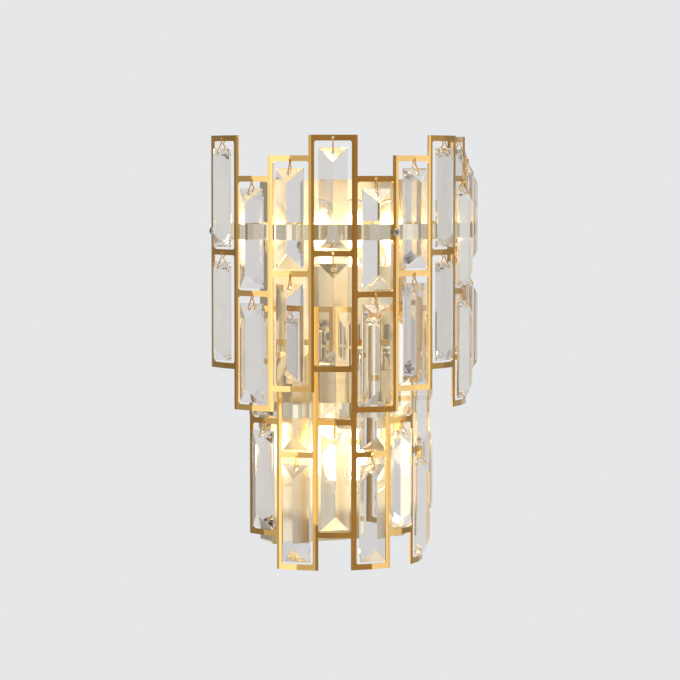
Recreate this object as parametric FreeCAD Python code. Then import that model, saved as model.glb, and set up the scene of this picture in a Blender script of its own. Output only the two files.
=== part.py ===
import FreeCAD, Part
import math
import os

# A half-round crystal wall light in two tiers. Each tier is a brass sheet cut into a
# lattice of tall windows and bent round in small even steps; a faceted prism hangs in
# every window. Millimetres. The wall is the plane Y = 0, the front faces -Y, up is +Z.
# The origin is the middle of the wall face. Angles run from straight ahead towards +X.

V = FreeCAD.Vector

# ---- lattice sheets ---------------------------------------------------------------------
sheet = 1.2                 # thickness of the lattice sheet
bar_width = 4.4             # width of every bar between and above the windows
window_corner = 1.2         # cut across each inside corner of a window
row_pitch = 87.5            # from one window's sill to the next
rows = 2
upper_radius = 105.5        # outside of the upper lattice
upper_axis_y = -10.0
upper_columns = 10
upper_pitch_deg = 18.0
upper_top_z = 177.0         # top of the upper tier's tallest columns
upper_step = 15.5           # how much lower each next height of column starts
upper_steps = (0, 2, 1)     # heights of the columns from the left, repeated
lower_radius = 75.1
lower_axis_y = -1.0
lower_columns = 7
lower_pitch_deg = 23.0
lower_top_z = 45.3
lower_step = 25.4
lower_steps = (0, 1)

# ---- crystals and their hooks -----------------------------------------------------------
crystal_width = 22.0
crystal_length = 76.0
crystal_rim = 2.0           # straight edge below the cut roof
crystal_thickness = 9.5     # flat back to ridge
crystal_hip = 11.0          # length of the sloping facet at each end
crystal_drop = 9.7          # from the top of a column to the top of its crystal
crystal_hole_r = 1.5
crystal_hole_down = 4.5     # below the crystal's top edge
crystal_back_inset = 0.8    # flat back behind the lattice's outer face
crystal_swing_room = 1.2    # clear space behind a crystal for its top to swing back
hook_wire = 1.0
hook_gap = 0.5              # clear space between the hook and what it goes round
hook_waist = 1.4            # between the two legs of a hook where they are pinched
hook_hole_r = 1.1

# ---- bands that carry the lattices ------------------------------------------------------
band_sheet = 1.6
band_height = 12.0
band_gap = 0.1              # between a band and its lattice
upper_band_z = 97.3         # lower edge
lower_band_z = -41.0
band_run = 5.5              # how far a band runs on past its last screw before the arm
arm_tab_depth = 9.0         # tab that lies on the housing's side
arm_tab_drop = 12.0         # how far the tab hangs below its band, to hold its screw
arm_wall_gap = 1.0          # between the tab and the wall

# ---- housing, wall bracket and fixings --------------------------------------------------
housing_width = 120.0
housing_height = 286.0
housing_depth = 20.0
housing_wall = 1.2
housing_corner = 3.0
bracket_width = 24.0
bracket_sheet = 1.5
bracket_ear = 11.0
wall_hole_spacing = 120.0
wall_hole_r = 2.5
cable_hole_r = 6.0
cable_hole_z = 30.0
grommet_lip = 2.0
screw_r = 1.45
screw_hole_r = 1.75
screw_head_r = 2.8
screw_head = 1.7
screw_spare = 4.0           # thread that stands out behind what it holds
nut_across = 5.5
nut_height = 2.2
fit_gap = 0.05
terminal_z = -18.0
terminal_width = 22.0
terminal_depth = 11.0
terminal_height = 14.0
terminal_ways = 3
terminal_bore_r = 2.0
terminal_groove = 1.2

# ---- lamps ------------------------------------------------------------------------------
lamp_y = -45.0              # lamp axis in front of the wall
lamp_z = 12.0               # middle of the shelf between the two lamps
shelf_sheet = 2.0
shelf_width = 18.0
flange_below = 11.0
flange_above = 22.0
flange_screw_inset = 5.0
feed_above = 7.0            # wires leave the housing this far above the shelf
tube_r = 5.0
tube_bore_r = 3.6
tube_nut_across = 14.0
tube_nut_height = 3.0
tube_in_holder = 5.0
holder_start = 18.0         # from the middle of the shelf to a holder's closed end
holder_length = 46.0
holder_r = 13.5
holder_bore_r = 11.6
holder_floor = 17.0
shell_r = 8.0
shell_bore_r = 7.1
shell_floor = 1.2
shell_below_rim = 3.0
cap_r = 6.95
cap_thread = 0.6
cap_turns = 4
glass_r = 22.5
glass_wall = 0.8
glass_length = 52.0         # from the holder's rim to the tip of the glass
glass_neck = 5.0
neck_r = 6.6
filament_r = 1.0
filament_rods = 4
filament_start = 14.0
filament_length = 24.0
filament_spread = 5.0

around = 16                 # flats round the turned pieces, kept few so the solids stay light


def tier(radius, axis_y, columns, pitch_deg, top_z, step, steps, band_z):
    """Names the sizes of one tier, with the angle and the top of each of its columns."""
    return {"radius": radius, "inner": radius - sheet, "axis_y": axis_y,
            "pitch": pitch_deg, "band_z": band_z,
            "tops": [top_z - step * steps[i % len(steps)] for i in range(columns)],
            "angles": [(i - (columns - 1) / 2) * pitch_deg for i in range(columns)]}


upper = tier(upper_radius, upper_axis_y, upper_columns, upper_pitch_deg,
             upper_top_z, upper_step, upper_steps, upper_band_z)
lower = tier(lower_radius, lower_axis_y, lower_columns, lower_pitch_deg,
             lower_top_z, lower_step, lower_steps, lower_band_z)


# ---- shapes that the pieces share -------------------------------------------------------
def face(points):
    return Part.Face(Part.makePolygon(points + points[:1]))


def box(x0, x1, y0, y1, z0, z1):
    return Part.makeBox(x1 - x0, y1 - y0, z1 - z0, V(x0, y0, z0))


def prism(radius, start, direction, length, sides=6):
    """A straight hole or blank with flat sides; radius reaches its corners."""
    turn = 2 * math.pi / sides
    blank = face([V(radius * math.cos(turn * k), radius * math.sin(turn * k), 0)
                  for k in range(sides)]).extrude(V(0, 0, length))
    blank.Placement = FreeCAD.Placement(start, FreeCAD.Rotation(V(0, 0, 1), direction))
    return blank


def turned(outline, sides=around):
    """A closed solid about the Z axis with flat sides, from an outline of (radius, height)
    points. The outline closes itself; points on the axis have no radius."""
    def corner(point, k):
        angle = 2 * math.pi * (k % sides) / sides
        return V(point[0] * math.cos(angle), point[0] * math.sin(angle), point[1])

    faces = []
    for low, high in zip(outline, outline[1:] + outline[:1]):
        if low[0] == 0 and high[0] == 0:
            continue
        if low[1] == high[1] and 0 in (low[0], high[0]):
            rim = max(low, high)
            faces.append(face([corner(rim, k) for k in range(sides)]))
            continue
        for k in range(sides):
            points = [corner(low, k), corner(low, k + 1), corner(high, k + 1), corner(high, k)]
            if low[0] == 0:
                points = points[1:]
            elif high[0] == 0:
                points = points[:3]
            faces.append(face(points))
    solid = Part.Solid(Part.makeShell(faces))
    if solid.Volume < 0:
        solid.reverse()
    return solid


def place(shape, angle_deg, axis_y):
    """Turns a shape built straight ahead of a tier's axis to its angle round that axis."""
    shape = shape.copy()
    shape.translate(V(0, axis_y, 0))
    shape.rotate(V(0, axis_y, 0), V(0, 0, 1), angle_deg)
    return shape


def sheet_point(t, radius, angle_deg):
    """A point on a sheet bent in equal steps, with a bend on each bar and each column."""
    step = t["pitch"] / 2
    past_bend = (angle_deg - t["angles"][0]) % step
    flat_r = radius * math.cos(math.radians(step / 2))
    r = flat_r / math.cos(math.radians(past_bend - step / 2))
    a = math.radians(angle_deg)
    return V(r * math.sin(a), t["axis_y"] - r * math.cos(a), 0)


def bent_sheet(t, inner_r, outer_r, low_z, high_z, start_deg, end_deg):
    """A stretch of bent sheet, from one angle to another round a tier's axis."""
    step = t["pitch"] / 2
    first = math.ceil((start_deg - t["angles"][0]) / step + 1e-6)
    last = math.floor((end_deg - t["angles"][0]) / step - 1e-6)
    bends = [t["angles"][0] + k * step for k in range(first, last + 1)]
    angles = [start_deg] + bends + [end_deg]
    outline = [sheet_point(t, outer_r, a) for a in angles]
    outline += [sheet_point(t, inner_r, a) for a in reversed(angles)]
    plan = face(outline)
    plan.translate(V(0, 0, low_z))
    return plan.extrude(V(0, 0, high_z - low_z))


def radial_drill(t, radius, z, angle_deg):
    """A cutter that points straight in through a tier's lattice and band."""
    depth = 2 * sheet + band_gap + band_sheet + sheet
    drill = prism(radius, V(0, -t["radius"] - sheet, z), V(0, 1, 0), depth)
    return place(drill, angle_deg, t["axis_y"])


def pan_screw(head_face, direction, shank):
    """A pan-head screw: its head stands on head_face and its shank runs along direction."""
    screw = turned([(0, -screw_head), (screw_head_r * 0.7, -screw_head),
                    (screw_head_r, -screw_head * 0.45), (screw_head_r, 0), (screw_r, 0),
                    (screw_r, shank), (0, shank)], 8)
    screw.Placement = FreeCAD.Placement(head_face, FreeCAD.Rotation(V(0, 0, 1), direction))
    return screw


def nut(across, height, hole_r, start, direction, hole_sides=8):
    """A hexagonal nut that starts at a point and runs along a direction."""
    blank = prism(across / math.sqrt(3), start, direction, height)
    return blank.cut(prism(hole_r, start - direction, direction, height + 2, hole_sides))


# ---- where things meet ------------------------------------------------------------------
def bar_angle(t, bar):
    """The angle of an upright bar; bar 0 is the first column's free edge."""
    return t["angles"][0] + (bar - 0.5) * t["pitch"]


def window_tops(t, column):
    """The heights at which a column's crossbars start, one above each window."""
    return [t["tops"][column] - row * row_pitch for row in range(rows)]


def screw_bars(t):
    """Bars that are screwed to the band: both free edges, and a middle bar if there is one."""
    columns = len(t["angles"])
    return sorted({0, columns} | ({columns // 2} if columns % 2 == 0 else set()))


def band_outer(t):
    return t["inner"] - band_gap


def band_end_deg(t):
    return bar_angle(t, len(t["angles"])) + math.degrees(band_run / t["radius"])


def band_end(t):
    """The corner where a band's round part meets its straight arm."""
    return sheet_point(t, band_outer(t), band_end_deg(t))


def band_middle_z(t):
    return t["band_z"] + band_height / 2


def tab_screw_y(t):
    return band_end(t).y - arm_tab_depth / 2


def tab_screw_z(t):
    return t["band_z"] - arm_tab_drop / 2


ear_hole_y = -bracket_sheet - bracket_ear / 2
ear_z = housing_height / 2 - housing_wall - fit_gap
feed_z = lamp_z + feed_above
flange_screws_z = (lamp_z - flange_below + flange_screw_inset,
                   lamp_z + flange_above - flange_screw_inset)


# ---- lattices, bands, crystals and hooks ------------------------------------------------
def window_cutter(t, angle, low_z, high_z):
    """What is cut away for one window: a bent block with its four corners taken off."""
    half_bar = math.degrees(bar_width / 2 / t["radius"])
    half_deg = t["pitch"] / 2 - half_bar
    near, far = t["inner"] - 2 * sheet, t["radius"] + 2 * sheet
    block = bent_sheet(t, near, far, low_z, high_z, angle - half_deg, angle + half_deg)
    corner_x = t["radius"] * math.sin(math.radians(half_deg)) - window_corner
    side_x = corner_x + crystal_width
    inset = crystal_width
    trim = face([V(x, -far, z) for x, z in (
        (-corner_x, low_z), (corner_x, low_z), (side_x, low_z + inset), (side_x, high_z - inset),
        (corner_x, high_z), (-corner_x, high_z), (-side_x, high_z - inset),
        (-side_x, low_z + inset))])
    return block.common(place(trim.extrude(V(0, far, 0)), angle, t["axis_y"]))


def make_lattice(t):
    """The bent sheet: a strip for each column, less its windows and pierced holes."""
    half_bar = math.degrees(bar_width / 2 / t["radius"])
    strips = []
    cutters = []
    for column, angle in enumerate(t["angles"]):
        start = angle - t["pitch"] / 2
        end = angle + t["pitch"] / 2
        top = t["tops"][column]
        strips.append(bent_sheet(t, t["inner"], t["radius"], top - rows * row_pitch - bar_width,
                                 top, start - half_bar, end + half_bar))
        for crossbar_top in window_tops(t, column):
            cutters.append(window_cutter(t, angle, crossbar_top - row_pitch,
                                         crossbar_top - bar_width))
            cutters.append(radial_drill(t, hook_hole_r, crossbar_top - bar_width / 2, angle))
    for bar in screw_bars(t):
        cutters.append(radial_drill(t, screw_hole_r, band_middle_z(t), bar_angle(t, bar)))
    return strips[0].fuse(strips[1:]).removeSplitter().cut(cutters).removeSplitter()


def make_band(t):
    """A flat strip bent behind the lattice, with arms back to the housing's sides."""
    outer = band_outer(t)
    end = band_end(t)
    low, high = t["band_z"], t["band_z"] + band_height
    side = housing_width / 2
    right_arm = box(side, end.x, end.y - band_sheet, end.y, low, high)
    right_turn = box(side, side + band_sheet, end.y - band_sheet, -arm_wall_gap, low, high)
    right_tab = box(side, side + band_sheet, end.y - arm_tab_depth, -arm_wall_gap,
                    low - arm_tab_drop, low)
    half = right_arm.fuse([right_turn, right_tab])
    strip = bent_sheet(t, outer - band_sheet, outer, low, high,
                       -band_end_deg(t), band_end_deg(t))
    band = strip.fuse([half, half.mirror(V(0, 0, 0), V(1, 0, 0))]).removeSplitter()
    holes = [radial_drill(t, screw_hole_r, band_middle_z(t), bar_angle(t, bar))
             for bar in screw_bars(t)]
    for sign in (-1, 1):
        holes.append(prism(screw_hole_r, V(sign * (side - 1), tab_screw_y(t), tab_screw_z(t)),
                           V(sign, 0, 0), band_sheet + 2))
    return band.cut(holes)


def make_crystal(t, column, row):
    """A prism with a flat back and a hipped roof cut on its outer face, and its hook hole."""
    back = t["radius"] - crystal_back_inset
    top = window_tops(t, column)[row] - crystal_drop
    bottom = top - crystal_length
    half = crystal_width / 2
    rim = back + crystal_rim
    ridge = back + crystal_thickness
    across = face([V(-half, -back, bottom), V(half, -back, bottom), V(half, -rim, bottom),
                   V(0, -ridge, bottom), V(-half, -rim, bottom)])
    along = face([V(-half, -back, bottom), V(-half, -rim, bottom),
                  V(-half, -ridge, bottom + crystal_hip), V(-half, -ridge, top - crystal_hip),
                  V(-half, -rim, top), V(-half, -back, top)])
    cut = across.extrude(V(0, 0, crystal_length)).common(along.extrude(V(crystal_width, 0, 0)))
    hole = prism(crystal_hole_r, V(0, -back + 1, top - crystal_hole_down), V(0, -1, 0),
                 crystal_thickness + 2)
    return place(cut.removeSplitter().cut(hole), t["angles"][column], t["axis_y"])


def moved_loop(points, distance):
    """A closed loop in a plane of constant x, moved outwards with its corners kept sharp."""
    moved = []
    for k, here in enumerate(points):
        before = (here - points[k - 1]).normalize()
        after = (points[(k + 1) % len(points)] - here).normalize()
        out = V(0, before.z, -before.y) + V(0, after.z, -after.y)
        moved.append(here + out * (distance / (1 + before.dot(after))))
    return moved


def make_hook(t, column, row):
    """A wire link, pinched below the bar: one loop round the crossbar's lower edge through
    its hole, one through the crystal's hole."""
    roof_slope = (crystal_thickness - crystal_rim) / crystal_hip
    clear = hook_gap + hook_wire / 2
    back = t["radius"] - crystal_back_inset
    front_at_hole = back + crystal_rim + roof_slope * crystal_hole_down
    crossbar = window_tops(t, column)[row]
    in_bar = crossbar - bar_width / 2
    in_crystal = crossbar - crystal_drop - crystal_hole_down
    under_bar = crossbar - bar_width - clear / 4
    waist_z = crossbar - bar_width - 2 * clear
    behind_bar = t["inner"] - clear
    before_bar = t["radius"] + clear
    waist = before_bar - hook_waist
    behind_crystal = back - crystal_swing_room - hook_wire / 2
    before_crystal = front_at_hole + 1.2 * clear
    opened_z = waist_z - (waist - behind_crystal)
    line = [(behind_bar, in_bar), (before_bar, in_bar), (before_bar, waist_z),
            (before_crystal, in_crystal), (behind_crystal, in_crystal),
            (behind_crystal, opened_z), (waist, waist_z), (behind_bar, under_bar)]
    outside, inside = [face(moved_loop([V(-hook_wire / 2, -out, z) for out, z in line], side))
                       for side in (hook_wire / 2, -hook_wire / 2)]
    link = outside.cut(inside).extrude(V(hook_wire, 0, 0))
    return place(link, t["angles"][column], t["axis_y"])


def make_hooks(t):
    """All the hooks of a tier, one loose link for each window."""
    return Part.makeCompound([make_hook(t, column, row)
                              for column in range(len(t["angles"])) for row in range(rows)])


def make_band_screws():
    """Screws that hold the lattices to their bands, heads outside."""
    grip = sheet + band_gap + band_sheet + fit_gap + nut_height + 1
    return Part.makeCompound([
        place(pan_screw(V(0, -t["radius"], band_middle_z(t)), V(0, 1, 0), grip),
              bar_angle(t, bar), t["axis_y"])
        for t in (upper, lower) for bar in screw_bars(t)])


def make_band_nuts():
    """A nut behind the band for each of those screws."""
    nuts = []
    for t in (upper, lower):
        seat = (band_outer(t) - band_sheet) * math.cos(math.radians(t["pitch"] / 4)) - fit_gap
        for bar in screw_bars(t):
            nuts.append(place(nut(nut_across, nut_height, screw_hole_r,
                                  V(0, -seat, band_middle_z(t)), V(0, 1, 0)),
                              bar_angle(t, bar), t["axis_y"]))
    return Part.makeCompound(nuts)


# ---- housing and what is in it ----------------------------------------------------------
def rounded_tray(inset, front, back):
    """A block with rounded upright and lying edges, as seen from the front."""
    half_w = housing_width / 2 - inset
    half_h = housing_height / 2 - inset
    block = box(-half_w, half_w, front, back, -half_h, half_h)
    front_to_back = [e for e in block.Edges if abs(e.tangentAt(e.FirstParameter).y) > 0.9]
    return block.makeFillet(housing_corner - inset, front_to_back)


def make_housing():
    """A shallow tray, open to the wall, with holes for its screws and the lamps' wires."""
    wall = housing_wall
    tray = rounded_tray(0, -housing_depth, 0).cut(rounded_tray(wall, wall - housing_depth, 1))
    front = -housing_depth - 1
    holes = [prism(tube_bore_r, V(0, front, feed_z), V(0, 1, 0), wall + 2, 8)]
    for z in flange_screws_z:
        holes.append(prism(screw_hole_r, V(0, front, z), V(0, 1, 0), wall + 2))
    for t in (upper, lower):
        holes.append(prism(screw_hole_r, V(-housing_width, tab_screw_y(t), tab_screw_z(t)),
                           V(1, 0, 0), 2 * housing_width))
    holes.append(prism(screw_hole_r, V(0, ear_hole_y, -housing_height), V(0, 0, 1),
                       2 * housing_height))
    return tray.cut(holes)


def make_bracket():
    """A wall strap whose ends are bent forward into ears that the housing screws to."""
    half = bracket_width / 2
    ear_y = -bracket_sheet - bracket_ear
    strap = box(-half, half, -bracket_sheet, 0, -ear_z, ear_z)
    ears = [box(-half, half, ear_y, -bracket_sheet, ear_z - bracket_sheet, ear_z),
            box(-half, half, ear_y, -bracket_sheet, -ear_z, -ear_z + bracket_sheet)]
    holes = [Part.makeCylinder(wall_hole_r, bracket_sheet + 2,
                               V(0, -bracket_sheet - 1, sign * wall_hole_spacing / 2),
                               V(0, 1, 0)) for sign in (-1, 1)]
    holes.append(prism(cable_hole_r, V(0, -bracket_sheet - 1, cable_hole_z), V(0, 1, 0),
                       bracket_sheet + 2, around))
    holes.append(prism(screw_hole_r, V(0, ear_hole_y, -ear_z - 1), V(0, 0, 1), 2 * ear_z + 2))
    return strap.fuse(ears).removeSplitter().cut(holes)


def make_case_screws():
    """Screws through the bands' tabs, the shelf's flange and the housing's two ends."""
    side = housing_width / 2 + band_sheet
    screws = []
    for sign in (-1, 1):
        for t in (upper, lower):
            screws.append(pan_screw(V(sign * side, tab_screw_y(t), tab_screw_z(t)),
                                    V(-sign, 0, 0), band_sheet + housing_wall + screw_spare))
        screws.append(pan_screw(V(0, ear_hole_y, sign * housing_height / 2), V(0, 0, -sign),
                                housing_wall + bracket_sheet + screw_spare))
    for z in flange_screws_z:
        screws.append(pan_screw(V(0, -housing_depth - shelf_sheet, z), V(0, 1, 0),
                                shelf_sheet + housing_wall + screw_spare))
    return Part.makeCompound(screws)


def make_grommet():
    """A flanged bush that lines the cable's hole in the wall strap."""
    flange_y = -2 * bracket_sheet
    bush = prism(cable_hole_r - fit_gap, V(0, flange_y, cable_hole_z), V(0, 1, 0),
                 2 * bracket_sheet, around)
    flange = prism(cable_hole_r + grommet_lip, V(0, flange_y, cable_hole_z), V(0, 1, 0),
                   bracket_sheet, around)
    bore = Part.makeCylinder(cable_hole_r - grommet_lip, 2 * bracket_sheet + 2,
                             V(0, flange_y - 1, cable_hole_z), V(0, 1, 0))
    return bush.fuse(flange).cut(bore)


def make_terminal_block():
    """A mains connector that stands on the wall strap, grooved between its ways."""
    front = -bracket_sheet - terminal_depth
    low = terminal_z - terminal_height / 2
    half = terminal_width / 2
    block = box(-half, half, front, -bracket_sheet, low, low + terminal_height)
    pitch = terminal_width / terminal_ways
    cutters = []
    for way in range(terminal_ways):
        x = (way - (terminal_ways - 1) / 2) * pitch
        cutters.append(prism(terminal_bore_r, V(x, front + terminal_depth / 3, low - 1),
                             V(0, 0, 1), terminal_height + 2))
    for wall in range(1, terminal_ways):
        x = (wall - terminal_ways / 2) * pitch - terminal_groove / 2
        cutters.append(box(x, x + terminal_groove, front - 1, front + terminal_groove,
                           low - 1, low + terminal_height + 1))
    return block.cut(cutters)


# ---- lamps ------------------------------------------------------------------------------
def make_shelf():
    """A bent bracket: a flange on the housing's face and a shelf out to the lamp axis."""
    half = shelf_width / 2
    front = -housing_depth - shelf_sheet
    low, high = lamp_z - shelf_sheet / 2, lamp_z + shelf_sheet / 2
    flange = box(-half, half, front, -housing_depth, lamp_z - flange_below,
                 lamp_z + flange_above)
    arm = box(-half, half, lamp_y, front, low, high)
    nose = prism(half, V(0, lamp_y, low), V(0, 0, 1), shelf_sheet, around)
    holes = [prism(tube_r + fit_gap, V(0, lamp_y, low - 1), V(0, 0, 1), shelf_sheet + 2, around),
             prism(tube_bore_r, V(0, front - 1, feed_z), V(0, 1, 0), shelf_sheet + 2, 8)]
    for z in flange_screws_z:
        holes.append(prism(screw_hole_r, V(0, front - 1, z), V(0, 1, 0), shelf_sheet + 2))
    return flange.fuse([arm, nose]).removeSplitter().cut(holes)


def make_tube():
    """The threaded tube that joins both lampholders through the shelf."""
    reach = holder_start + tube_in_holder
    tube = turned([(tube_bore_r, -reach), (tube_r, -reach), (tube_r, reach),
                   (tube_bore_r, reach)])
    tube.translate(V(0, lamp_y, lamp_z))
    return tube


def make_tube_nuts():
    """Two thin nuts that clamp the tube to the shelf."""
    return Part.makeCompound([
        nut(tube_nut_across, tube_nut_height, tube_r + fit_gap,
            V(0, lamp_y, lamp_z + side * shelf_sheet / 2), V(0, 0, side), around)
        for side in (-1, 1)])


def on_lamp(shape, side):
    """Stands a shape made upwards from a holder's closed end on the upper or lower lamp."""
    shape = shape.copy()
    if side < 0:
        shape.rotate(V(0, 0, 0), V(1, 0, 0), 180)
    shape.translate(V(0, lamp_y, lamp_z + side * holder_start))
    return shape


def make_holder():
    """The insulating body: a domed closed end, a long skirt and a floor for the contacts."""
    rim = holder_length
    entry = tube_r + fit_gap
    return turned([(entry, 0), (0.7 * holder_r, 0), (0.9 * holder_r, 2.5), (holder_r, 7),
                   (holder_r, rim - 1), (holder_r - 0.8, rim), (holder_bore_r, rim),
                   (holder_bore_r, holder_floor), (entry, holder_floor)])


def make_shell():
    """The metal sleeve that takes the lamp's cap, closed below by its contact."""
    high = holder_length - shell_below_rim
    inside = holder_floor + shell_floor
    return turned([(0, holder_floor), (shell_r, holder_floor), (shell_r, high),
                   (shell_bore_r, high), (shell_bore_r, inside), (0, inside)])


def make_cap():
    """The lamp's screw cap, with its rolled thread and the contact at its foot."""
    foot = holder_floor + shell_floor + fit_gap
    thread = foot + 4.5
    pitch = (holder_length - 2 - thread) / cap_turns
    outline = [(0, foot), (2.4, foot), (4.0, foot + 2.2), (cap_r - cap_thread, thread)]
    for k in range(cap_turns):
        outline.append((cap_r, thread + pitch * (k + 0.4)))
        outline.append((cap_r - cap_thread, thread + pitch * (k + 0.9)))
    outline += [(neck_r, holder_length), (0, holder_length)]
    return turned(outline, 12)


def make_glass():
    """The hollow round glass: a neck that opens into a ball."""
    rim = holder_length + fit_gap
    centre = holder_length + glass_length - glass_r

    def profile(ball, neck, low):
        """The half outline from the neck's end up to the tip."""
        points = [(neck, low), (neck, rim + glass_neck)]
        for degrees in (-55, -30, -5, 20, 45, 68):
            a = math.radians(degrees)
            points.append((ball * math.cos(a), centre + ball * math.sin(a)))
        return points + [(0, centre + ball)]

    outside = profile(glass_r, neck_r, rim)
    inside = profile(glass_r - glass_wall, neck_r - glass_wall, rim + glass_wall)
    return turned([(0, rim)] + outside + inside[::-1] + [(0, rim + glass_wall)])


def make_filament():
    """A glass stem with glowing rods round it, held between two small plates."""
    foot = holder_length + fit_gap + glass_wall
    first = foot + filament_start
    last = first + filament_length
    plate_r = filament_spread + filament_r
    spine = turned([(0, foot), (4.4, foot), (1.4, first - 1), (plate_r, first - 1),
                    (plate_r, first), (1.4, first), (1.4, last), (plate_r, last),
                    (plate_r, last + 1), (0, last + 1)], 8)
    rods = []
    for k in range(filament_rods):
        turn = 2 * math.pi * (k + 0.5) / filament_rods
        rods.append(prism(filament_r, V(filament_spread * math.cos(turn) * 0.85,
                                        filament_spread * math.sin(turn) * 0.85, first),
                          V(0, 0, 1), filament_length))
    return spine.fuse(rods)


def export(name, shape):
    shape.exportStep("parts/" + name + ".step")


os.makedirs("parts", exist_ok=True)
for tier_name, t in (("upper", upper), ("lower", lower)):
    export(tier_name + "_lattice", make_lattice(t))
    export(tier_name + "_band", make_band(t))
    export(tier_name + "_hooks", make_hooks(t))
    for column in range(len(t["angles"])):
        for row, row_name in enumerate(("top", "bottom")):
            export("%s_crystal_%02d_%s" % (tier_name, column + 1, row_name),
                   make_crystal(t, column, row))
export("housing", make_housing())
export("wall_bracket", make_bracket())
export("case_screws", make_case_screws())
export("cable_grommet", make_grommet())
export("terminal_block", make_terminal_block())
export("band_screws", make_band_screws())
export("band_nuts", make_band_nuts())
export("lamp_shelf", make_shelf())
export("lamp_tube", make_tube())
export("tube_nuts", make_tube_nuts())
for lamp_name, side in (("upper", 1), ("lower", -1)):
    export(lamp_name + "_lampholder", on_lamp(make_holder(), side))
    export(lamp_name + "_screw_shell", on_lamp(make_shell(), side))
    export(lamp_name + "_bulb_cap", on_lamp(make_cap(), side))
    export(lamp_name + "_bulb_glass", on_lamp(make_glass(), side))
    export(lamp_name + "_bulb_filament", on_lamp(make_filament(), side))
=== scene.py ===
import math

import bmesh
import bpy
from mathutils import Matrix, Vector


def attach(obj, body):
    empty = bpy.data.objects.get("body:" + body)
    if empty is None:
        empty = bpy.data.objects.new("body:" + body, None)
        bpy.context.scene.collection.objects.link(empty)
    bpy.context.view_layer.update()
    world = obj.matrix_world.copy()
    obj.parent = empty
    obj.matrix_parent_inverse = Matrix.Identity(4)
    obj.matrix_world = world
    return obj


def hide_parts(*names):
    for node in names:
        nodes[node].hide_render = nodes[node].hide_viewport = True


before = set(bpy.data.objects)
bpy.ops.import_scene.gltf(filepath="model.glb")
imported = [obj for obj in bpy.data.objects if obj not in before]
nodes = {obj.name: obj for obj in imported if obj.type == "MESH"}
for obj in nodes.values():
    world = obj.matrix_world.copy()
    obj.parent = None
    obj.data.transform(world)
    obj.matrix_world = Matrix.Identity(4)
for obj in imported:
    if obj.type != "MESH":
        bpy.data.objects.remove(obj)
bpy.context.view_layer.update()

scene = bpy.context.scene
scene.view_settings.view_transform = "Standard"

# Light crosses many polished facets in a cut crystal before it comes out again.
scene.cycles.max_bounces = 20
scene.cycles.glossy_bounces = 12
scene.cycles.transmission_bounces = 20


# ---- Where the sconce is seen from ------------------------------------------------------
# The wall light hangs at eye level and is seen from the front left, a little over two
# metres away, with the camera tipped slightly down. Millimetres, from the wall face.
camera_place = (-986.7, -1971.8, 148.75)
camera_turn = 26.83
camera_tip = 3.47

camera = bpy.data.objects.new("camera", bpy.data.cameras.new("camera"))
camera.location = [v / 1000 for v in camera_place]
camera.rotation_euler = (math.radians(90 - camera_tip), 0, math.radians(-camera_turn))
camera.data.sensor_width = 36.0
camera.data.lens = 146.5
camera.data.clip_start = 0.05
camera.data.clip_end = 300.0
scene.collection.objects.link(camera)
scene.camera = camera


# ---- Lattices and carrier bands ---------------------------------------------------------
# Two sheets of 1.2 mm brass-plated steel, cut into tall windows, bent round in small
# steps and screwed to a 1.6 mm strip behind. The plate is satin, brushed along the bars.
def linear(hex_colour):
    """An sRGB hex colour as linear RGBA."""
    values = [int(hex_colour[i:i + 2], 16) / 255 for i in (1, 3, 5)]
    return [v / 12.92 if v <= 0.04045 else ((v + 0.055) / 1.055) ** 2.4 for v in values] + [1]


def add(tree, kind, settings=None, **links):
    """Adds a node. settings go to its properties or sockets, links join other sockets."""
    node = tree.nodes.new(kind)
    for name, value in (settings or {}).items():
        if name in node.inputs:
            node.inputs[name].default_value = value
        else:
            setattr(node, name, value)
    for name, source in links.items():
        socket = node.inputs[name.replace("_", " ")]
        tree.links.new(source, socket)
    return node


def new_material(name):
    """An empty material with its output, and its tree."""
    material = bpy.data.materials.new(name)
    material.use_nodes = True
    material.node_tree.nodes.clear()
    return material, material.node_tree


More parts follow.
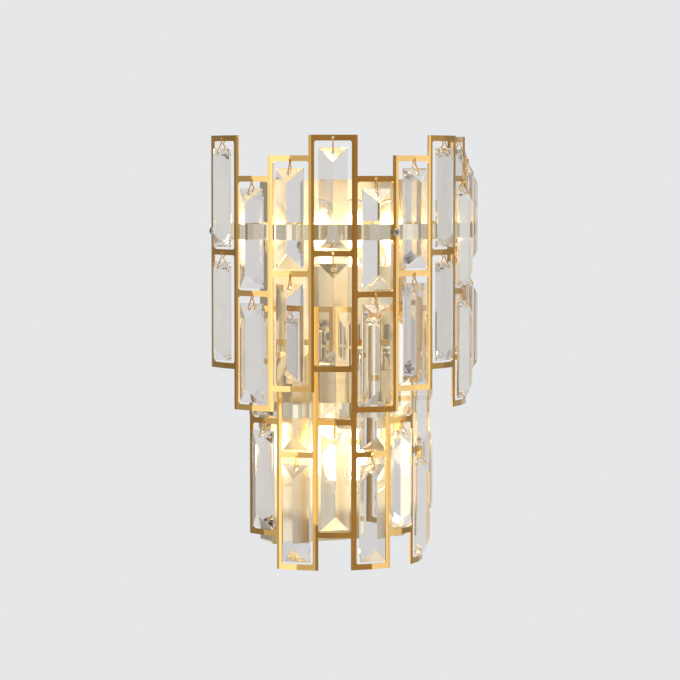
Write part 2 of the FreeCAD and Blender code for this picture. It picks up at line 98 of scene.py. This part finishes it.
def brushed_metal(name, light, dark, roughness, spread, grain_mm, bump):
    """Plated metal with fine brush lines: tone, gloss and height follow one noise."""
    line_mm, cloud_mm, scratch = 71.4, 22.2, 0.00005
    material, tree = new_material(name)
    place = add(tree, "ShaderNodeTexCoord")
    across = 1000 / grain_mm
    lie = add(tree, "ShaderNodeMapping", {"Scale": (across, across, 1000 / line_mm)},
              Vector=place.outputs["Object"])
    lines = add(tree, "ShaderNodeTexNoise", {"Scale": 1, "Detail": 3, "Roughness": 0.6},
                Vector=lie.outputs["Vector"])
    cloud = add(tree, "ShaderNodeTexNoise", {"Scale": 1000 / cloud_mm, "Detail": 2},
                Vector=place.outputs["Object"])
    line_share = 0.65
    part = add(tree, "ShaderNodeMath", {"operation": "MULTIPLY"})
    tree.links.new(cloud.outputs["Fac"], part.inputs[0])
    part.inputs[1].default_value = 1 - line_share
    both = add(tree, "ShaderNodeMath", {"operation": "MULTIPLY_ADD"})
    tree.links.new(lines.outputs["Fac"], both.inputs[0])
    both.inputs[1].default_value = line_share
    tree.links.new(part.outputs[0], both.inputs[2])
    tone = add(tree, "ShaderNodeValToRGB", Fac=both.outputs[0])
    tone.color_ramp.elements[0].position = 0.3
    tone.color_ramp.elements[0].color = linear(dark)
    tone.color_ramp.elements[1].position = 0.7
    tone.color_ramp.elements[1].color = linear(light)
    gloss = add(tree, "ShaderNodeMapRange",
                {"To Min": roughness - spread, "To Max": roughness + spread},
                Value=both.outputs[0])
    height = add(tree, "ShaderNodeBump", {"Strength": bump, "Distance": scratch},
                 Height=lines.outputs["Fac"])
    shader = add(tree, "ShaderNodeBsdfPrincipled", {"Metallic": 1.0},
                 Base_Color=tone.outputs["Color"], Roughness=gloss.outputs["Result"],
                 Normal=height.outputs["Normal"])
    add(tree, "ShaderNodeOutputMaterial", Surface=shader.outputs["BSDF"])
    return material


# Satin brushed brass plate: a soft glow with fine upright lines, warm where it turns away.
satin_brass = brushed_metal("satin_brushed_brass", "#F6D596", "#E9BF78", 0.19, 0.04, 0.35, 0.1)

for name in ("upper_lattice", "lower_lattice"):
    nodes[name].data.materials.clear()
    nodes[name].data.materials.append(satin_brass)


# ---- Housing and shelf ------------------------------------------------------------------
# A shallow pressed tray of stainless steel, 120 by 286 by 20 mm, polished to throw the
# lamps' light forward, with a bent shelf screwed to its face for the two lampholders.
# Polished tray: a hazy mirror that doubles the gilt bars and spreads the lamps' glow.
polished_plate = brushed_metal("polished_stainless", "#FBF6E9", "#F2ECDC", 0.2, 0.05, 1.2, 0.05)

# Polished stainless strip: near mirror, neutral, with a faint haze from the polishing.
polished_strip = brushed_metal("bright_stainless_strip", "#FCF7E8", "#F4EEDC", 0.13, 0.04, 1.2, 0.05)

for name, finish in (("housing", polished_plate), ("lamp_shelf", polished_plate),
                     ("upper_band", polished_strip), ("lower_band", polished_strip)):
    nodes[name].data.materials.clear()
    nodes[name].data.materials.append(finish)


# ---- Wall strap, tube and nuts ----------------------------------------------------------
# Steel parts that stay out of sight behind and inside the housing: zinc plated, dull.
# Zinc plate: grey with a cool cast and a soft, slightly mottled gloss.
zinc_steel = brushed_metal("zinc_plated_steel", "#B9BCBD", "#9CA0A2", 0.4, 0.08, 2.0, 0.1)

for name in ("wall_bracket", "lamp_tube", "tube_nuts"):
    nodes[name].data.materials.clear()
    nodes[name].data.materials.append(zinc_steel)


# ---- Cable bush and terminal block ------------------------------------------------------
# The bush is soft black rubber, pushed into the strap; the mains connector is moulded
# white thermoset with three ways.
def moulded(name, colour, roughness, bump, grain_mm):
    """Moulded plastic or rubber with a fine skin."""
    material, tree = new_material(name)
    place = add(tree, "ShaderNodeTexCoord")
    skin = add(tree, "ShaderNodeTexNoise", {"Scale": 1000 / grain_mm, "Detail": 2},
               Vector=place.outputs["Object"])
    tone = add(tree, "ShaderNodeValToRGB", Fac=skin.outputs["Fac"])
    tone.color_ramp.elements[0].color = [c * 0.86 for c in linear(colour)[:3]] + [1]
    tone.color_ramp.elements[1].color = linear(colour)
    gloss = add(tree, "ShaderNodeMapRange",
                {"To Min": roughness - 0.06, "To Max": roughness + 0.06},
                Value=skin.outputs["Fac"])
    height = add(tree, "ShaderNodeBump", {"Strength": bump, "Distance": 0.0001},
                 Height=skin.outputs["Fac"])
    shader = add(tree, "ShaderNodeBsdfPrincipled", {"IOR": 1.5},
                 Base_Color=tone.outputs["Color"], Roughness=gloss.outputs["Result"],
                 Normal=height.outputs["Normal"])
    add(tree, "ShaderNodeOutputMaterial", Surface=shader.outputs["BSDF"])
    return material


# Rubber: near black, matt. Thermoset: warm white with a low sheen, skin about 1 mm.
black_rubber = moulded("soft_black_rubber", "#232323", 0.7, 0.3, 1.1)
white_thermoset = moulded("white_moulded_thermoset", "#ECE9E1", 0.42, 0.15, 0.9)

nodes["cable_grommet"].data.materials.clear()
nodes["cable_grommet"].data.materials.append(black_rubber)
nodes["terminal_block"].data.materials.clear()
nodes["terminal_block"].data.materials.append(white_thermoset)


# ---- Crystals ---------------------------------------------------------------------------
# Thirty-four prisms of clear cut crystal, 22 by 76 mm, flat behind, with a hipped roof
# ground on the face and a drilled hole near the top. The ground edges are barely broken.
edge_break_mm = 0.18
facet_turn = 12
shortest_edge_mm = 4


def new_piece(name, mesh_maker, material, body="root", smooth=False):
    """A piece in place in the row's frame, riding on its body."""
    mesh = bpy.data.meshes.new(name)
    mesh_maker.to_mesh(mesh)
    mesh_maker.free()
    mesh.materials.append(material)
    for polygon in mesh.polygons:
        polygon.use_smooth = smooth
    piece = bpy.data.objects.new(name, mesh)
    scene.collection.objects.link(piece)
    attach(piece, body)
    return piece


def merged_copy(node):
    """A CAD node's shape as a clean mesh with flat faces in one piece each."""
    shape = bmesh.new()
    shape.from_mesh(nodes[node].data)
    bmesh.ops.remove_doubles(shape, verts=shape.verts, dist=1e-6)
    bmesh.ops.dissolve_limit(shape, angle_limit=math.radians(0.6), verts=shape.verts,
                             edges=shape.edges)
    return shape


def cut_crystal():
    """Clear lead-free crystal: water white and polished, with faint haze from the wheel."""
    haze_mm = 14.3
    material, tree = new_material("clear_cut_crystal")
    place = add(tree, "ShaderNodeTexCoord")
    haze = add(tree, "ShaderNodeTexNoise", {"Scale": 1000 / haze_mm, "Detail": 2},
               Vector=place.outputs["Object"])
    tone = add(tree, "ShaderNodeValToRGB", Fac=haze.outputs["Fac"])
    tone.color_ramp.elements[0].color = linear("#ECEAE7")
    tone.color_ramp.elements[1].color = linear("#F5F3F0")
    gloss = add(tree, "ShaderNodeMapRange", {"From Min": 0.45, "To Max": 0.03},
                Value=haze.outputs["Fac"])
    shader = add(tree, "ShaderNodeBsdfPrincipled", {"IOR": 1.54, "Transmission Weight": 1.0},
                 Base_Color=tone.outputs["Color"], Roughness=gloss.outputs["Result"])
    add(tree, "ShaderNodeOutputMaterial", Surface=shader.outputs["BSDF"])
    return material


crystal_glass = cut_crystal()
for node in [name for name in nodes if "_crystal_" in name]:
    shape = merged_copy(node)
    sharp = [e for e in shape.edges
             if len(e.link_faces) == 2 and e.calc_face_angle(0) > math.radians(facet_turn)
             and e.calc_length() > shortest_edge_mm / 1000]
    bmesh.ops.bevel(shape, geom=sharp, offset=edge_break_mm / 1000, affect="EDGES",
                    segments=1, profile=0.5, material=-1)
    piece = new_piece("cut_" + node, shape, crystal_glass, node)
    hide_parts(node)


# ---- Hooks ------------------------------------------------------------------------------
# Bright brass wire, 1 mm, bent to a closed link that is pinched under the bar: its small
# loop goes through the crossbar's hole, its large one through the crystal's hole.
wire_mm = 1.0
tiers = {"upper": (105.5, -10.0, 10, 18.0, 177.0, 15.5, (0, 2, 1)),
         "lower": (75.1, -1.0, 7, 23.0, 45.3, 25.4, (0, 1))}
row_mm = 87.5

# Bright wire: drawn and plated, glossier and a little lighter than the sheet.
wire_brass = brushed_metal("bright_brass_wire", "#F4D48C", "#E8C06C", 0.16, 0.04, 0.5, 0.1)

# The link's line at one crossbar: out from the sheet's outer face, and down from its top.
link_line = [(-2.2, -2.2), (1.0, -2.2), (1.0, -6.4), (5.3, -14.2), (-2.5, -14.2),
             (-2.5, -8.5), (-0.4, -6.4), (-2.2, -4.7)]


def rounded_line(points, reach, steps=4):
    """A closed line with each corner replaced by a small curve, as bent wire has."""
    line = []
    for k, here in enumerate(points):
        here = Vector(here)
        before = Vector(points[k - 1]) - here
        after = Vector(points[(k + 1) % len(points)]) - here
        start = here + before.normalized() * min(reach, before.length * 0.45)
        end = here + after.normalized() * min(reach, after.length * 0.45)
        for j in range(steps + 1):
            share = j / steps
            line.append(start * (1 - share) ** 2 + here * 2 * share * (1 - share)
                        + end * share ** 2)
    return line


def wire_loop(points, radius, sides=8):
    """A closed wire along the points: a ring at each, bridged one to the next."""
    wire = bmesh.new()
    rings = []
    for k, point in enumerate(points):
        along = points[(k + 1) % len(points)] - points[k - 1]
        place = Matrix.Translation(point) @ along.to_track_quat("Z", "X").to_matrix().to_4x4()
        ring = bmesh.ops.create_circle(wire, segments=sides, radius=radius, matrix=place)
        rings.append(list({edge for vert in ring["verts"] for edge in vert.link_edges}))
    for ring, following in zip(rings, rings[1:] + rings[:1]):
        bmesh.ops.bridge_loops(wire, edges=ring + following)
    bmesh.ops.recalc_face_normals(wire, faces=wire.faces)
    return wire


def gather(whole, part, place):
    """Adds a placed part to a whole made of several like it."""
    bmesh.ops.transform(part, matrix=place, verts=part.verts)
    mesh = bpy.data.meshes.new("part")
    part.to_mesh(mesh)
    part.free()
    whole.from_mesh(mesh)
    bpy.data.meshes.remove(mesh)


bent_line = rounded_line(link_line, 1.1)
for tier, (radius, axis_y, columns, pitch, top_z, step, steps) in tiers.items():
    hooks = bmesh.new()
    for column in range(columns):
        turn = Matrix.Rotation(math.radians((column - (columns - 1) / 2) * pitch), 4, "Z")
        for row in range(2):
            crossbar = top_z - step * steps[column % len(steps)] - row * row_mm
            link = [Vector((0, -(radius + out), crossbar + down)) / 1000
                    for out, down in bent_line]
            gather(hooks, wire_loop(link, wire_mm / 2000),
                   Matrix.Translation((0, axis_y / 1000, 0)) @ turn)
    piece = new_piece(tier + "_wire_hooks", hooks, wire_brass, "root", True)
    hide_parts(tier + "_hooks")


# ---- Screws and nuts --------------------------------------------------------------------
# Pan-head machine screws, 3 mm, bright zinc, that hold the sheets to the bands and the
# bands, shelf and strap to the housing, with hexagon nuts behind the bands.
# Bright zinc: a hard, cool gloss.
bright_zinc = brushed_metal("bright_zinc_screws", "#C9CBCB", "#AEB1B2", 0.22, 0.05, 0.8, 0.1)
for name in ("case_screws", "band_nuts"):
    nodes[name].data.materials.clear()
    nodes[name].data.materials.append(bright_zinc)

# The lattices' five screws, with a cross recess in the head: one on each free edge, and
# one on the upper lattice's middle bar. Radius and height of each ring in mm, from the
# shank's tip to the head's flat top.
screw_rings = [(1.05, -10.3), (1.4, -9.7), (1.4, 0.0), (2.8, 0.0), (2.8, 0.75), (2.62, 1.15),
               (2.2, 1.5), (1.75, 1.64)]
ring_sides = 24


def cross_reach(number, arm=1.35, half=0.42):
    """How far a cross's outline stands from its middle, at one of the ring's corners."""
    turn = math.radians(number * 360 / ring_sides % 90)
    turn = min(turn, math.pi / 2 - turn)
    return arm / math.cos(turn) if math.tan(turn) * arm <= half else half / math.sin(turn)


def recessed_screw():
    """One pan-head screw, bridged ring by ring, with its head's seat at the origin."""
    shape = bmesh.new()
    plain = [[r] * ring_sides + [h] for r, h in screw_rings]
    recess = [[cross_reach(n) * share for n in range(ring_sides)] + [h]
              for share, h in ((1.0, 1.66), (0.6, 0.55))]
    loops = []
    for *reach, height in plain + recess:
        ring = bmesh.ops.create_circle(shape, segments=ring_sides, radius=1)["verts"]
        for number, vert in enumerate(ring):
            turn = 2 * math.pi * number / ring_sides
            vert.co = (reach[number] * math.cos(turn) / 1000,
                       reach[number] * math.sin(turn) / 1000, height / 1000)
        loops.append([e for e in shape.edges if all(v in ring for v in e.verts)])
    for loop, following in zip(loops, loops[1:]):
        bmesh.ops.bridge_loops(shape, edges=loop + following)
    bmesh.ops.holes_fill(shape, edges=loops[0] + loops[-1])
    bmesh.ops.recalc_face_normals(shape, faces=shape.faces)
    return shape


band_middle = {"upper": 103.3, "lower": -35.0}
upright = Matrix.Rotation(math.radians(90), 4, "X")
screws = bmesh.new()
for tier, (radius, axis_y, columns, pitch, *_) in tiers.items():
    bars = (0, columns / 2, columns) if columns % 2 == 0 else (0, columns)
    for bar in bars:
        lie = Matrix.Rotation(math.radians((bar - columns / 2) * pitch), 4, "Z")
        seat = lie @ Vector((0, -radius, 0)) + Vector((0, axis_y, band_middle[tier]))
        gather(screws, recessed_screw(), Matrix.Translation(seat / 1000) @ lie @ upright)
piece = new_piece("lattice_screws", screws, bright_zinc, "root", True)
piece.data.set_sharp_from_angle(angle=math.radians(30))
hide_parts("band_screws")


# ---- Lampholders ------------------------------------------------------------------------
# Two insulating bodies on a threaded tube, one up and one down, each with a nickel-plated
# screw shell inside. Turned outline, radius and height in mm from the closed end.
lamp_axis_y = -45.0
shelf_z = 12.0
holder_from = 18.0


def turned(outline, side, steps=64):
    """Spins an outline about the lamp axis; side is 1 for the upper lamp, -1 for the lower."""
    shape = bmesh.new()
    verts = [shape.verts.new((r / 1000, 0, h / 1000)) for r, h in outline]
    edges = [shape.edges.new((a, b)) for a, b in zip(verts, verts[1:])]
    bmesh.ops.spin(shape, geom=verts + edges, cent=(0, 0, 0), axis=(0, 0, 1),
                   angle=2 * math.pi, steps=steps, use_merge=True)
    bmesh.ops.remove_doubles(shape, verts=shape.verts, dist=1e-6)
    bmesh.ops.recalc_face_normals(shape, faces=shape.faces)
    if side < 0:
        bmesh.ops.rotate(shape, verts=shape.verts, cent=(0, 0, 0),
                         matrix=Matrix.Rotation(math.pi, 3, "X"))
    bmesh.ops.translate(shape, verts=shape.verts,
                        vec=(0, lamp_axis_y / 1000, (shelf_z + side * holder_from) / 1000))
    return shape


def round_edges(piece, width_mm, segments=2):
    """A small rounding on the piece's sharp edges."""
    rounding = piece.modifiers.new("rounding", "BEVEL")
    rounding.width = width_mm / 1000
    rounding.segments = segments
    rounding.limit_method = "ANGLE"
    rounding.angle_limit = math.radians(35)


holder_outline = [(5.05, 0.0), (9.45, 0.0), (12.15, 2.5), (13.5, 7.0), (13.5, 45.0),
                  (12.7, 46.0), (11.6, 46.0), (11.6, 17.0), (5.05, 17.0), (5.05, 0.0)]
shell_outline = [(0, 17.0), (8.0, 17.0), (8.0, 43.0), (7.1, 43.0), (7.1, 18.2), (0, 18.2)]

# Nickel plate: bright, slightly warm.
nickel_plate = brushed_metal("nickel_plate", "#D5D2C9", "#C2BFB6", 0.15, 0.04, 1.0, 0.05)

for lamp, side in (("upper", 1), ("lower", -1)):
    piece = new_piece(lamp + "_holder_body", turned(holder_outline, side), white_thermoset,
                      "root", True)
    round_edges(piece, 0.3)
    piece.data.set_sharp_from_angle(angle=math.radians(40))
    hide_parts(lamp + "_lampholder")
    piece = new_piece(lamp + "_shell_sleeve", turned(shell_outline, side), nickel_plate,
                      "root", True)
    piece.data.set_sharp_from_angle(angle=math.radians(40))
    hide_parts(lamp + "_screw_shell")


# ---- Lamps ------------------------------------------------------------------------------
# Clear golf-ball lamps with a rolled screw cap: a blown glass of 45 mm, and glowing rods
# round a glass stem inside it.
cap_end = 46.0
thread_from = 22.75
thread_pitch = 5.3125
ball_r = 22.5
glass_length = 52.0
glass_wall = 0.8
glass_gap = 0.05

cap_outline = [(0, 18.25), (2.4, 18.25), (4.0, 20.45), (6.35, thread_from)]
for turn in range(4):
    start = thread_from + turn * thread_pitch
    cap_outline += [(6.65, start + 1.0), (6.93, start + 2.1), (6.65, start + 3.4),
                    (6.35, start + 4.78)]
cap_outline += [(6.6, cap_end), (0, cap_end)]


def glass_line(inset):
    """The glass's half outline, from the foot by the neck to the top of the ball."""
    ball = ball_r - inset
    neck = 6.6 - inset
    foot = cap_end + glass_gap + inset
    centre = cap_end + glass_length - ball_r
    line = [(0, foot), (neck, foot), (neck, 51.0), (neck + 1.2, 53.5)]
    for degrees in range(-55, 90, 8):
        bearing = math.radians(degrees)
        line.append((ball * math.cos(bearing), centre + ball * math.sin(bearing)))
    return line + [(0, centre + ball)]


def lamp_glass():
    """Blown soda glass, clear, with the slight unevenness of blowing."""
    wave_mm = 11.1
    material, tree = new_material("blown_lamp_glass")
    place = add(tree, "ShaderNodeTexCoord")
    waves = add(tree, "ShaderNodeTexNoise", {"Scale": 1000 / wave_mm, "Detail": 1},
                Vector=place.outputs["Object"])
    height = add(tree, "ShaderNodeBump", {"Strength": 0.05, "Distance": 0.0003},
                 Height=waves.outputs["Fac"])
    shader = add(tree, "ShaderNodeBsdfPrincipled",
                 {"Base Color": linear("#FFFDF8"), "Roughness": 0.0, "IOR": 1.5,
                  "Transmission Weight": 1.0}, Normal=height.outputs["Normal"])
    add(tree, "ShaderNodeOutputMaterial", Surface=shader.outputs["BSDF"])
    return material


def glowing(name, colour, strength):
    """The coated rods: a warm glow, a little uneven with the coating's grain."""
    grain_mm = 0.67
    material, tree = new_material(name)
    place = add(tree, "ShaderNodeTexCoord")
    grains = add(tree, "ShaderNodeTexNoise", {"Scale": 1000 / grain_mm, "Detail": 2},
                 Vector=place.outputs["Object"])
    tone = add(tree, "ShaderNodeValToRGB", Fac=grains.outputs["Fac"])
    tone.color_ramp.elements[0].color = [c * 0.8 for c in linear(colour)[:3]] + [1]
    tone.color_ramp.elements[1].color = linear(colour)
    shader = add(tree, "ShaderNodeBsdfPrincipled",
                 {"Roughness": 0.5, "Emission Strength": strength},
                 Base_Color=tone.outputs["Color"], Emission_Color=tone.outputs["Color"])
    add(tree, "ShaderNodeOutputMaterial", Surface=shader.outputs["BSDF"])
    return material


blown_glass = lamp_glass()
rod_glow = glowing("glowing_lamp_rods", "#FFE9C4", 9.0)

for lamp, side in (("upper", 1), ("lower", -1)):
    piece = new_piece(lamp + "_rolled_cap", turned(cap_outline, side), nickel_plate,
                      "root", True)
    piece.data.set_sharp_from_angle(angle=math.radians(60))
    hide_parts(lamp + "_bulb_cap")
    glass = turned(glass_line(0), side)
    inner = turned(glass_line(glass_wall), side)
    bmesh.ops.reverse_faces(inner, faces=inner.faces)
    gather(glass, inner, Matrix())
    piece = new_piece(lamp + "_blown_bulb", glass, blown_glass, "root", True)
    piece.data.set_sharp_from_angle(angle=math.radians(50))
    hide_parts(lamp + "_bulb_glass")
    nodes[lamp + "_bulb_filament"].data.materials.clear()
    nodes[lamp + "_bulb_filament"].data.materials.append(rod_glow)


# ---- Floor, backdrop and light ----------------------------------------------------------
# A plain pale floor 0.75 m under the hanging light and a pale room round it, with a soft
# box on the left, one on the right and one above, and the light of the two lamps.
def room_surface():
    """The floor: pale where it is looked at, with a part that is lit and takes shadows."""
    material, tree = new_material("plain_pale_floor")
    lit = add(tree, "ShaderNodeBsdfDiffuse", {"Color": linear("#EFEFEE")})
    flat = add(tree, "ShaderNodeEmission", {"Color": linear("#F0F2F4"), "Strength": 1.0})
    path = add(tree, "ShaderNodeLightPath")
    seen = path.outputs["Is Camera Ray"]
    for kind in ("Is Glossy Ray", "Is Transmission Ray"):
        either = add(tree, "ShaderNodeMath", {"operation": "MAXIMUM"})
        tree.links.new(seen, either.inputs[0])
        tree.links.new(path.outputs[kind], either.inputs[1])
        seen = either.outputs[0]
    pale_share = 0.8
    share = add(tree, "ShaderNodeMath", {"operation": "MULTIPLY"})
    tree.links.new(seen, share.inputs[0])
    share.inputs[1].default_value = pale_share
    both = add(tree, "ShaderNodeMixShader", Fac=share.outputs[0])
    tree.links.new(lit.outputs[0], both.inputs[1])
    tree.links.new(flat.outputs[0], both.inputs[2])
    add(tree, "ShaderNodeOutputMaterial", Surface=both.outputs[0])
    return material


floor_radius = 2.2
floor_drop = 0.75
floor_shape = bmesh.new()
bmesh.ops.create_circle(floor_shape, cap_ends=True, segments=96, radius=floor_radius)
bmesh.ops.translate(floor_shape, verts=floor_shape.verts, vec=(0, 0, -floor_drop))
floor_mesh = bpy.data.meshes.new("floor")
floor_shape.to_mesh(floor_mesh)
floor_shape.free()
floor_mesh.materials.append(room_surface())
floor = bpy.data.objects.new("floor", floor_mesh)
scene.collection.objects.link(floor)

# The room's light, read round the horizon from behind, by the left, to the right: two
# bright sides, a dimmer golden room in front and a cool wall behind. What is looked at is
# the plain pale backdrop: most of it shows through glass too, and a part of it in metal.
world = bpy.data.worlds.new("studio")
world.use_nodes = True
room = world.node_tree
room.nodes.clear()
ray = add(room, "ShaderNodeTexCoord")
toward = add(room, "ShaderNodeSeparateXYZ", Vector=ray.outputs["Generated"])
bearing = add(room, "ShaderNodeMath", {"operation": "ARCTAN2"})
outward = add(room, "ShaderNodeMath", {"operation": "MULTIPLY"})
room.links.new(toward.outputs["Y"], outward.inputs[0])
outward.inputs[1].default_value = -1
room.links.new(toward.outputs["X"], bearing.inputs[0])
room.links.new(outward.outputs[0], bearing.inputs[1])
round_turn = add(room, "ShaderNodeMapRange", {"From Min": -math.pi, "From Max": math.pi},
                 Value=bearing.outputs[0])
shade = add(room, "ShaderNodeValToRGB", Fac=round_turn.outputs["Result"])


stops = [(-179, "#C3C4C9"), (-155, "#867A6B"), (-135, "#5B4310"), (-115, "#897854"),
         (-99, "#C7BDA6"), (-72, "#EAE4D5"), (-58, "#E3DAC2"), (-42, "#997A18"),
         (-27, "#755010"), (-9, "#997214"), (9, "#966F14"), (26, "#947518"), (45, "#F6F0E1"),
         (62, "#D5CBB2"), (81, "#75633A"), (105, "#938C84"), (130, "#C3C4C9"),
         (179, "#C3C4C9")]
ramp = shade.color_ramp
for bearing_deg, colour in stops:
    place = 0.5 + bearing_deg / 360
    stop = ramp.elements.new(place)
    stop.color = linear(colour)
ramp.elements.remove(ramp.elements[0])
ramp.elements.remove(ramp.elements[-1])
path = add(room, "ShaderNodeLightPath")
around = add(room, "ShaderNodeBackground", {"Strength": 1.0}, Color=shade.outputs["Color"])
pale = add(room, "ShaderNodeBackground", {"Color": linear("#E6E7E8"), "Strength": 1.0})
seen = path.outputs["Is Camera Ray"]
for kind, share in (("Is Transmission Ray", 0.7), ("Is Glossy Ray", 0.15)):
    more = add(room, "ShaderNodeMath", {"operation": "MULTIPLY_ADD"})
    room.links.new(path.outputs[kind], more.inputs[0])
    more.inputs[1].default_value = share
    room.links.new(seen, more.inputs[2])
    seen = more.outputs[0]
sky = add(room, "ShaderNodeMixShader", Fac=seen)
room.links.new(around.outputs[0], sky.inputs[1])
room.links.new(pale.outputs[0], sky.inputs[2])
add(room, "ShaderNodeOutputWorld", Surface=sky.outputs[0])
scene.world = world


def soft_light(name, bearing_deg, away, height, wide, tall, brightness, colour):
    """A soft box at a bearing right of straight out, upright or tipped to face the sconce."""
    lamp = bpy.data.lights.new(name, "AREA")
    lamp.shape = "RECTANGLE"
    lamp.size = wide
    lamp.size_y = tall
    lamp.energy = brightness * math.pi * wide * tall
    lamp.color = linear(colour)[:3]
    bearing = math.radians(bearing_deg)
    place = Vector((away * math.sin(bearing), -away * math.cos(bearing), height))
    light = bpy.data.objects.new(name, lamp)
    light.location = place
    light.rotation_euler = (Vector((0, -0.06, 0.01)) - place).to_track_quat("-Z", "Y").to_euler()
    scene.collection.objects.link(light)


soft_light("left_box", -79, 2.2, 0.15, 1.0, 1.6, 0.75, "#FFFCF6")
soft_light("right_box", 46, 2.3, 0.15, 1.3, 1.6, 0.4, "#FFFFFF")
soft_light("top_box", 10, 0.8, 2.2, 0.9, 0.9, 6.0, "#FFFFFF")

# The two lamps' own light, from small spheres round their glowing rods.
for name, height_mm in (("upper_glow", 100), ("lower_glow", -76)):
    lamp = bpy.data.lights.new(name, "POINT")
    lamp.shadow_soft_size = 0.012
    lamp.energy = 1.05
    lamp.color = linear("#FFE6BE")[:3]
    light = bpy.data.objects.new(name, lamp)
    light.location = (0, lamp_axis_y / 1000, height_mm / 1000)
    scene.collection.objects.link(light)

# What the crystals and gilt bars throw back into the tray: a faint glow that faces the wall.
lamp = bpy.data.lights.new("thrown_back", "AREA")
lamp.shape = "RECTANGLE"
lamp.size = 0.11
lamp.size_y = 0.27
lamp.energy = 0.62 * math.pi * lamp.size * lamp.size_y
lamp.color = linear("#FFEBB6")[:3]
light = bpy.data.objects.new("thrown_back", lamp)
light.location = (0, -0.07, 0.01)
light.rotation_euler = (math.radians(90), 0, 0)
scene.collection.objects.link(light)
